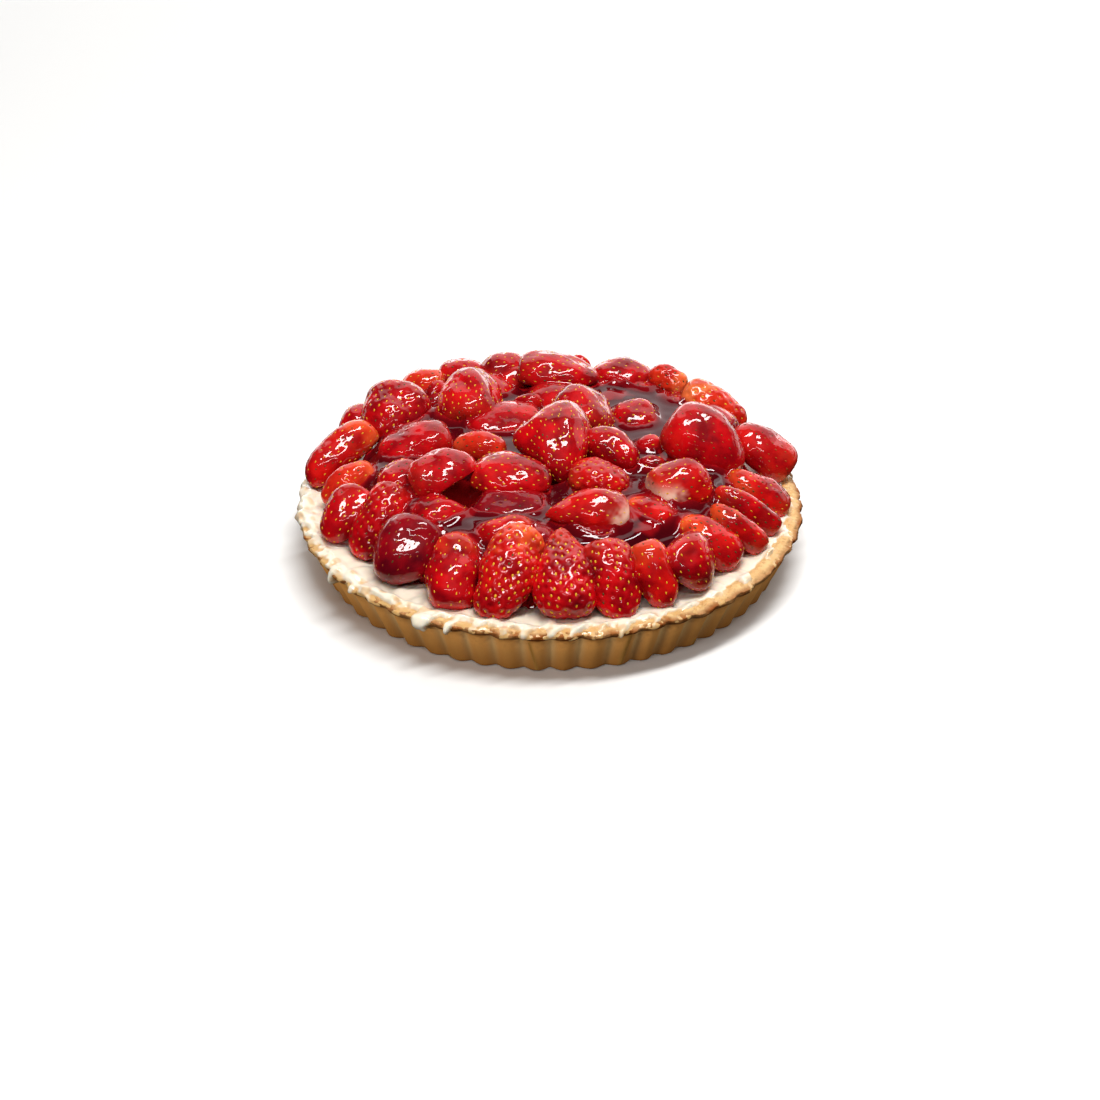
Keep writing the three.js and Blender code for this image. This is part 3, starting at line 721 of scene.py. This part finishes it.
def berryGirth(angle, taper, point):
    raw = np.sin(angle) * (1 - taper * np.cos(angle))
    trial = np.linspace(1.5, 2.3, 60)
    widest = np.max(np.sin(trial) * (1 - taper * np.cos(trial)))
    towardShoulder = (1 - np.cos(angle)) / 2
    power = point + towardShoulder * (berryShape["shoulder"] - point)
    return np.clip(raw / widest, 0, 1) ** power


# Points of a berry's skin in millimetres: angle 0 is its tip, and round runs over the dome first.
def onBerry(row, angle, around):
    length, width, thick, taper, bend, point = berryForm(row)
    tip, side, dome = berryAxes(row)
    girth = berryGirth(angle, taper, point)
    across = width / 2 * girth * np.cos(around) + bend * np.sin(angle)
    share = np.where(np.sin(around) > 0, berryShape["domeShare"], 1 - berryShape["domeShare"])
    high = thick * share * girth * np.sin(around)
    along = length / 2 * np.cos(angle)
    return (berryMiddle(row) + along[:, None] * tip + across[:, None] * side
            + high[:, None] * dome)


# Seeds wind round a berry by the golden angle, one for each few square millimetres of skin.
def seedAngles(row):
    spacing = details(row)["spacing"]
    length, width, thick, taper, _, point = berryForm(row)
    angle = np.linspace(0.02, math.pi - 0.02, 300)
    girth = berryGirth(angle, taper, point)
    slope = np.gradient(girth * (width + thick) / 4, angle)
    arc = np.hypot(length / 2 * np.sin(angle), slope)
    area = np.cumsum(girth * arc) * (angle[1] - angle[0]) * math.pi * (width + thick) / 2
    cellShare = 0.87  # of the square of the spacing, for seeds in offset rows
    count = int(area[-1] / (cellShare * spacing ** 2))
    wanted = (np.arange(count) + 0.5) / count * area[-1]
    turnBy = math.pi * (3 - math.sqrt(5))
    start = (sum(ord(c) for c in row[0]) % 17) / 17 * math.pi
    rng = np.random.default_rng(count)
    turn = np.arange(count) * turnBy + start + rng.normal(0, 0.05, count)
    angles = np.interp(wanted, area, angle) + rng.normal(0, 0.015, count)
    return np.clip(angles, 0.02, math.pi - 0.02), turn % (2 * math.pi)


# A number of its own for each berry, from its name.
def berryNumber(row):
    return sum((i + 1) * ord(c) for i, c in enumerate(row[0]))


# The skin of a berry without its dimples, and the way out of it at each point.
def berrySkin(row, angle, around):
    points = onBerry(row, angle, around)
    tip = berryAxes(row)[0]
    outward = points - berryMiddle(row)
    outward -= 0.7 * (outward @ tip)[:, None] * tip
    outward = unit(outward)
    number = berryNumber(row)
    lump = ripples(points, [(*berryShape["lump"], number)])
    glaze = ripples(points, [(*wave, number + 3 + i) for i, wave in enumerate(berryShape["glaze"])])
    calm = details(row)["dimple"] > berryShape["calmFrom"]
    lump += glaze * (berryShape["calm"] if calm else 1.0)
    lump *= np.sin(angle)
    for swellAngle, swellTurn, spread, high in swellings.get(row[0], []):
        far, turn = math.radians(swellAngle), math.radians(swellTurn)
        apart = np.arccos(np.clip(np.cos(angle) * math.cos(far) + np.sin(angle) * math.sin(far)
                                  * np.cos(around - turn), -1, 1))
        lump += high * np.exp(-(apart / math.radians(spread)) ** 2)
    points = points + outward * lump[:, None]
    if row[0] in cuts:
        facing, distance = cuts[row[0]]
        over = np.maximum((points - berryMiddle(row)) @ np.array(facing) - distance, 0)
        points = points - over[:, None] * np.array(facing)
    if row[0].startswith("low"):
        points[:, 2] -= hollowDepth(points[:, 0], points[:, 1])
    return points, outward


# The balls that the berries are shaped from.
def makeBall(segments, rings):
    deselectAll()
    bpy.ops.mesh.primitive_uv_sphere_add(segments=segments, ring_count=rings, radius=1)
    return bpy.context.active_object


def makeBerry(row, ballPiece, materials):
    piece = bpy.data.objects.new(row[0], ballPiece.data.copy())
    scene.collection.objects.link(piece)
    ball = readPoints(piece)
    angle = np.arccos(np.clip(ball[:, 2], -1, 1))
    turned = np.arctan2(ball[:, 1], ball[:, 0]) % (2 * math.pi) / (2 * math.pi)
    # More of the segments go to the dome, which shows, than to the flat side below it.
    domeSegments = berryShape["domeSegments"]
    around = np.interp(turned, [0, domeSegments, 1], [0, math.pi, 2 * math.pi])
    points, outward = berrySkin(row, angle, around)
    detail = details(row)
    seeds, _ = berrySkin(row, *seedAngles(row))
    apart = (np.sum(points ** 2, axis=1)[:, None] + np.sum(seeds ** 2, axis=1)
             - 2 * points @ seeds.T)  # squared distances from every point to every seed
    pit = np.exp(-np.min(apart, axis=1) / berryShape["pitRadius"] ** 2)
    points -= outward * (detail["dimple"] * pit)[:, None]
    writePoints(piece, points * mm)
    share = (1 - np.cos(angle)) / 2  # 0 at the tip, 1 at the shoulder
    number = berryNumber(row)
    uneven = ripples(points, [(*berryShape["colourEdge"], number + 1)])
    ends = np.maximum(detail["orangeEnd"] * smoothStep(share + uneven, 0.6, 1.0),
                      detail["orangeTip"] * smoothStep(1 - share + uneven, 0.6, 1.0))
    storeValues(piece, "end", ends)
    streaks = ripples(points, [(*berryShape["streak"], number + 2)])
    thick = row[8]
    below = (berryMiddle(row) - points) @ berryAxes(row)[2] / thick
    paleFrom = detail["paleFrom"]
    pale = smoothStep(share + 0.5 * uneven + streaks, paleFrom, paleFrom + 0.3)
    pale *= smoothStep(below, -0.5, -0.18)
    storeValues(piece, "pale", detail["pale"] * pale)
    material = materials[detail["look"]]
    node = [row[0]] if row[0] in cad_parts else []
    return dressPiece(piece, row[0] + "_fruit", material, "berry", *node)


def insideBerry(points, row, grow):
    length, width, thick, taper, bend, point = berryForm(row)
    tip, side, dome = berryAxes(row)
    local = points - berryMiddle(row)
    along = local @ tip / (length / 2 + grow)
    angle = np.arccos(np.clip(along, -1, 1))
    girth = berryGirth(angle, taper, point) + 1e-6
    across = (local @ side - bend * np.sin(angle)) / ((width / 2 + grow) * girth)
    high = local @ dome
    share = np.where(high > 0, berryShape["domeShare"], 1 - berryShape["domeShare"])
    return (np.abs(along) < 1) & (across ** 2 + (high / ((thick * share + grow) * girth)) ** 2 < 1)


# The jelly: a mound that falls in shallow steps from its shoulder to its edge, and climbs the
# berries in small fillets.
jelly = {
    "top": 48.5, "shoulder": 66.0, "edge": 97.0, "stepHeight": 4.5,
    "spread": 6.0,  # how much wider it is at the sides than in front
    "fullAt": 145, "fullWidth": 34, "fuller": 16.0,  # bearing where it stands full, and how far
    "climb": 2.8, "fillet": 4.4,  # height and reach of a fillet
    "cell": 0.75, "clearDepth": 3.5,  # of its grid, and how deep one sees into it
    "waves": [(0.3, 18.0, 32), (0.12, 8.0, 33)], "stepWaves": [(1.5, 40.0, 34)],
    "sliceWaves": [(0.35, 7.0, 31)], "sliceRise": 0.5,
    # Slices just below its skin: bearing, reach, heading, length, width, how clear.
    "slices": [
        (34, 64, -70, 17, 10, 0.8), (36, 75, -60, 14, 8, 0.6), (160, 84, -95, 30, 12, 0.75),
        (157, 68, -80, 26, 10, 0.6), (135, 88, 80, 20, 9, 0.6), (-38, 63, -60, 30, 9, 0.6),
        (-8, 62, 80, 22, 8, 0.5), (70, 84, 80, 16, 8, 0.4)],
}


def moundHeight(x, y):
    reach = np.hypot(x, y)
    spread = jelly["spread"] * (x / np.maximum(reach, 1e-6)) ** 2
    # On one side it stands full nearly to the outer berries.
    away = np.abs((np.degrees(np.arctan2(x, -y)) - jelly["fullAt"] + 180) % 360 - 180)
    fuller = jelly["fuller"] * (1 - smoothStep(away, 0, jelly["fullWidth"]))
    shoulder = jelly["shoulder"] + fuller
    edge = jelly["edge"] + 0.35 * fuller
    share = np.clip((reach - spread - shoulder) / (edge - shoulder), 0, 1)
    low = cream["top"]
    height = low + (jelly["top"] - low) * np.cos(share * math.pi / 2)
    # It set in shallow steps on its way down.
    turn = 2 * math.pi / jelly["stepHeight"]
    phase = turn * height + ripples(levelPoints(x, y), jelly["stepWaves"])
    height = height + 0.8 * np.sin(phase) / turn * smoothStep(share, 0.05, 0.2)
    return height - 40 * (share >= 1) - hollowDepth(x, y)


# How clearly a sunken slice shows through at each place, from 0 to 1.
def sliceShare(x, y):
    total = np.zeros(len(x))
    uneven = ripples(levelPoints(x, y), jelly["sliceWaves"])
    for bearing, reach, heading, length, width, clear in jelly["slices"]:
        turn, way = math.radians(bearing), math.radians(heading)
        dx, dy = x - reach * math.sin(turn), y + reach * math.cos(turn)
        along = dx * math.sin(way) - dy * math.cos(way)
        across = dx * math.cos(way) + dy * math.sin(way)
        far = (along / (length / 2)) ** 2 + (across / (width / 2)) ** 2
        total = np.maximum(total, clear * (1 - smoothStep(far + uneven, 0.3, 1.3)))
    return total


# The tops of the berries over a square grid, by looking straight down at them.
def topsOfBerries(x, y):
    depsgraph = bpy.context.evaluated_depsgraph_get()
    heights = np.full(len(x), -99.0)
    down = Vector((0, 0, -1))
    for i, (px, py) in enumerate(zip(x, y)):
        hit, place, *_ = scene.ray_cast(depsgraph, Vector((px * mm, py * mm, 0.2)), down)
        if hit:
            heights[i] = place.z / mm
    return heights


# How far points are from the nearest berry and from the next one, below 0 inside it.
def distancesToBerries(points, pieces):
    depsgraph = bpy.context.evaluated_depsgraph_get()
    nearest = np.full(len(points), 99.0)
    second = nearest.copy()
    for piece in pieces:
        corners = readPoints(piece) / mm
        low, high = corners.min(axis=0) - jelly["fillet"], corners.max(axis=0) + jelly["fillet"]
        close = np.nonzero(np.all((points > low) & (points < high), axis=1))[0]
        far = np.empty(len(close))
        for i, k in enumerate(close):
            spot = Vector(points[k] * mm)
            _, place, normal, _ = piece.closest_point_on_mesh(spot, depsgraph=depsgraph)
            apart = spot - place
            far[i] = math.copysign(apart.length / mm, apart.dot(normal))
        second[close] = np.minimum(second[close], np.maximum(nearest[close], far))
        nearest[close] = np.minimum(nearest[close], far)
    return nearest, second


# The rise of the jelly towards a berry, going on steeply inside it.
def filletRise(far):
    reach = jelly["fillet"]
    outside = (1 - np.clip(far / reach, 0, 1)) ** 2
    return jelly["climb"] * np.where(far > 0, outside, 1 - 2 * np.maximum(far, -reach) / reach)


# Heights of the jelly's skin over a square grid, and how much light comes through at each place.
def jellySkin(x, y, berryTops, berryPieces, shape):
    mound = moundHeight(x, y)
    slices = sliceShare(x, y)
    waves = ripples(levelPoints(x, y), jelly["waves"])
    nearest, second = distancesToBerries(np.stack([x, y, mound], 1), berryPieces)
    inland = smoothStep(mound, cream["top"] + 1, cream["top"] + 14)
    rise = (filletRise(nearest) + filletRise(np.maximum(second, 0))) * inland
    filled = mound + rise + smoothStep(nearest, 1, 4) * (waves + jelly["sliceRise"] * slices)
    filled = np.where(nearest < 0, np.minimum(filled, berryTops - 0.4), filled).reshape(shape)
    for _ in range(2):
        filled = (filled + np.roll(filled, 1, 0) + np.roll(filled, -1, 0)
                  + np.roll(filled, 1, 1) + np.roll(filled, -1, 1)) / 5
    # Low down between the outer berries the cream shows instead.
    filled = np.where(mound < cream["top"] + 5, cream["top"] - 3, filled.ravel())
    thin = np.exp(-np.clip(filled - berryTops, 0, 60) / jelly["clearDepth"])
    thin = np.maximum(thin, 0.6 * np.exp(-np.maximum(nearest, 0) / 1.5))
    return filled, np.maximum(thin, slices)


def makeJelly(berryPieces):
    half = jelly["edge"] + jelly["spread"] + 4
    count = int(round(2 * half / jelly["cell"]))
    deselectAll()
    bpy.ops.mesh.primitive_grid_add(x_subdivisions=count, y_subdivisions=count, size=2)
    piece = bpy.context.active_object
    piece.hide_set(True)
    points = readPoints(piece) * half
    order = np.lexsort((points[:, 0], points[:, 1]))
    x, y = points[order, 0], points[order, 1]
    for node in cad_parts.values():
        node.hide_set(True)
    berryTops = topsOfBerries(x, y)
    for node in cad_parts.values():
        node.hide_set(False)
    shape = (count + 1, count + 1)
    filled, thin = jellySkin(x, y, berryTops, berryPieces, shape)
    points[order, 2] = filled
    values = np.empty(len(points))
    values[order] = thin
    piece.hide_set(False)
    writePoints(piece, points * mm)
    storeValues(piece, "thin", values)
    # Only the round part stays, and a skirt and floor close it below.
    pickVertices(piece, np.hypot(points[:, 0], points[:, 1]) > half - 2)
    bpy.ops.object.mode_set(mode="EDIT")
    bpy.ops.mesh.delete(type="VERT")
    bpy.ops.mesh.select_all(action="SELECT")
    bpy.ops.mesh.region_to_loop()
    bpy.ops.mesh.extrude_edges_move(TRANSFORM_OT_translate={"value": (0, 0, -0.004)})
    bpy.ops.mesh.edge_face_add()
    bpy.ops.mesh.select_all(action="SELECT")
    bpy.ops.mesh.normals_make_consistent(inside=False)
    bpy.ops.object.mode_set(mode="OBJECT")
    dressPiece(piece, "jelly_pool", fruitJelly(), "jelly", "jelly")
    return x[:count + 1], filled.reshape(shape)


# The seeds: their size, how far their middle stands out, the share of them that is missing, and the
# colours of their kinds.
seedShape = {"length": 1.55, "width": 0.85, "thick": 0.5, "standsOut": 0.02, "missing": 0.08,
             "colours": {"golden": "#DDA620", "brown": "#4A4318", "sunken": "#A04A14"}}


# Where seeds of each kind show: place, way to the tip, way out of the skin, and size.
def seedPlaces(gridX, jellyHeights, rng):
    places = {kind: [] for kind in seedShape["colours"]}
    everyBerry = berries + smallPieces
    for row in everyBerry:
        detail = details(row)
        angle, around = seedAngles(row)
        # The underside of a berry has none.
        shows = (np.sin(around) > -0.2) & (rng.random(len(angle)) > seedShape["missing"])
        angle, around = angle[shows], around[shows]
        skin, lumpWay = berrySkin(row, angle, around)
        skin -= detail["dimple"] * lumpWay
        nudge = 0.02  # radians either way, to find the skin's slope
        towardTip = (berrySkin(row, angle - nudge, around)[0]
                     - berrySkin(row, angle + nudge, around)[0])
        towardSide = (berrySkin(row, angle, around + nudge)[0]
                      - berrySkin(row, angle, around - nudge)[0])
        normal = np.cross(towardSide, towardTip)
        normal *= np.sign(np.sum(normal * (skin - berryMiddle(row)), axis=1))[:, None]
        normal = unit(normal)
        # Seeds under another berry, the jelly or the cream are left out.
        covered = np.zeros(len(skin), bool)
        for other in everyBerry:
            if other is not row:
                covered |= insideBerry(skin, other, 0.3)
        cell = gridX[1] - gridX[0]
        i = np.clip(np.rint((skin[:, 1] - gridX[0]) / cell).astype(int), 0, len(gridX) - 1)
        j = np.clip(np.rint((skin[:, 0] - gridX[0]) / cell).astype(int), 0, len(gridX) - 1)
        covered |= skin[:, 2] < jellyHeights[i, j] - 0.1
        covered |= skin[:, 2] < cream["top"]
        dark = rng.random(len(skin)) < detail["darkSeeds"]
        for k in np.nonzero(~covered)[0]:
            kind = "brown" if dark[k] else detail["seeds"]
            places[kind].append((skin[k], towardTip[k], normal[k], detail["seedSize"]))
    return places


def makeSeeds(gridX, jellyHeights):
    rng = np.random.default_rng(21)
    places = seedPlaces(gridX, jellyHeights, rng)
    deselectAll()
    bpy.ops.mesh.primitive_uv_sphere_add(segments=6, ring_count=4, radius=1)
    pattern = bpy.context.active_object
    shape = readPoints(pattern)
    faces = [tuple(face.vertices) for face in pattern.data.polygons]
    bpy.data.objects.remove(pattern)
    for kind, spots in places.items():
        allPoints, allFaces = [], []
        for number, (spot, along, normal, size) in enumerate(spots):
            along = along - normal * (along @ normal)
            along = along / np.linalg.norm(along)
            across = np.cross(normal, along)
            size *= rng.uniform(0.8, 1.15)
            middle = spot + normal * seedShape["standsOut"]
            local = (shape[:, 2:3] * along * seedShape["length"] / 2
                     + shape[:, 0:1] * across * seedShape["width"] / 2 * (1 - 0.3 * shape[:, 2:3])
                     + shape[:, 1:2] * normal * seedShape["thick"] / 2)
            allPoints.append(middle + local * size)
            first = number * len(shape)
            allFaces.extend(tuple(first + v for v in face) for face in faces)
        mesh = bpy.data.meshes.new("seeds_" + kind)
        mesh.from_pydata(np.concatenate(allPoints) * mm, [], allFaces)
        piece = bpy.data.objects.new("seeds_" + kind, mesh)
        scene.collection.objects.link(piece)
        closeSeams(piece)
        material = seedShell(kind + " seeds", seedShape["colours"][kind])
        dressPiece(piece, "seeds_" + kind, material, "berry")
        print("seeds_" + kind, len(spots))


# The camera, in metres and degrees, and the lights: name, place, height of the aim, width, height
# and watts of each. The fills stand low, to light the case, and aren't mirrored.
studio = {
    "distance": 1.4472, "lookDown": 31.33, "aimRight": -0.00034, "aimUp": -0.0016, "lens": 98.18,
    "lights": [
        ("back_panel", (0.2, 1.2, 0.85), 0.05, 2.4, 1.9, 19),
        ("rim_strip", (0.0, 1.6, 0.15), 0.05, 3.0, 0.36, 9),
        ("key_softbox", (0.12, -0.2, 1.27), 0.05, 0.9, 0.19, 16.5),
        ("front_strip", (-0.1, -1.0, 1.1), 0.05, 1.1, 0.05, 4.5),
        ("right_panel", (1.7, 0.9, 0.8), 0.05, 1.0, 1.0, 3.5),
        ("left_fill", (-1.3, -0.95, 0.1), 0.02, 0.5, 0.2, 8.5),
        ("right_fill", (1.1, -0.95, 0.1), 0.02, 0.5, 0.2, 3.6)],
    "paper": "#F2F1EF", "air": 0.02,
}


def addCamera():
    down = math.radians(studio["lookDown"])
    forward = Vector((0, math.cos(down), -math.sin(down)))
    up = Vector((0, math.sin(down), math.cos(down)))
    spot = Vector((studio["aimRight"], 0, 0)) + up * studio["aimUp"] - forward * studio["distance"]
    bpy.ops.object.camera_add(location=spot, rotation=(math.radians(90) - down, 0, 0))
    camera = bpy.context.active_object
    camera.data.sensor_width = 36
    camera.data.lens = studio["lens"]
    scene.camera = camera


def addSoftbox(name, place, aimHeight, wide, high, watts):
    bpy.ops.object.light_add(type="AREA", location=place)
    light = bpy.context.active_object
    light.name = name
    light.data.shape = "RECTANGLE"
    light.data.size = wide
    light.data.size_y = high
    light.data.energy = watts
    aim = Vector((0, 0, aimHeight)) - Vector(place)
    light.rotation_euler = aim.to_track_quat("-Z", "Y").to_euler()
    light.visible_camera = False
    light.visible_glossy = not name.endswith("fill")


def addStudio():
    addCamera()
    for light in studio["lights"]:
        addSoftbox(*light)
    bpy.ops.mesh.primitive_plane_add(size=8)
    floor = bpy.context.active_object
    floor.name = "floor"
    material, tree = newMaterial("pale studio paper")
    surface = addNode(tree, "BsdfPrincipled", {
        "Base Color": linear(studio["paper"]), "Roughness": 0.7})
    addNode(tree, "OutputMaterial", {"Surface": surface.outputs[0]})
    floor.data.materials.append(material)
    # The tart stands in dark surroundings: the floor is only seen, and lights and mirrors nothing.
    floor.visible_glossy = False
    floor.visible_diffuse = False
    # Only the table behind the tart is mirrored in it, as white rims along its outlines.
    bpy.ops.mesh.primitive_plane_add(size=1, location=(0, 1.67, 0.0002))
    table = bpy.context.active_object
    table.name = "table_behind"
    table.scale = (4, 3, 1)
    table.data.materials.append(material)
    table.visible_camera = False
    table.visible_diffuse = False
    table.visible_shadow = False
    world = bpy.data.worlds.new("studio air")
    world.use_nodes = True
    air = world.node_tree.nodes["Background"]
    air.inputs["Color"].default_value = (1, 1, 1, 1)
    air.inputs["Strength"].default_value = studio["air"]
    scene.world = world
    scene.view_settings.view_transform = "Standard"


# The whole tart, from the case up.
makeCase()
print("case made")
makeCream()
print("cream made")
berryMaterials = {kind: glazedStrawberry(kind) for kind in berryLooks}
plainBall = makeBall(*berryShape["plainBall"])
fineBall = makeBall(*berryShape["fineBall"])
fruit = []
for berryRow in berries + smallPieces:
    dimpled = details(berryRow)["dimple"] > berryShape["fineFrom"]
    fruit.append(makeBerry(berryRow, fineBall if dimpled else plainBall, berryMaterials))
bpy.data.objects.remove(plainBall)
bpy.data.objects.remove(fineBall)
print("berries made")
jellyX, jellyHeights = makeJelly(fruit)
print("jelly made")
makeSeeds(jellyX, jellyHeights)
print("seeds made")
addStudio()
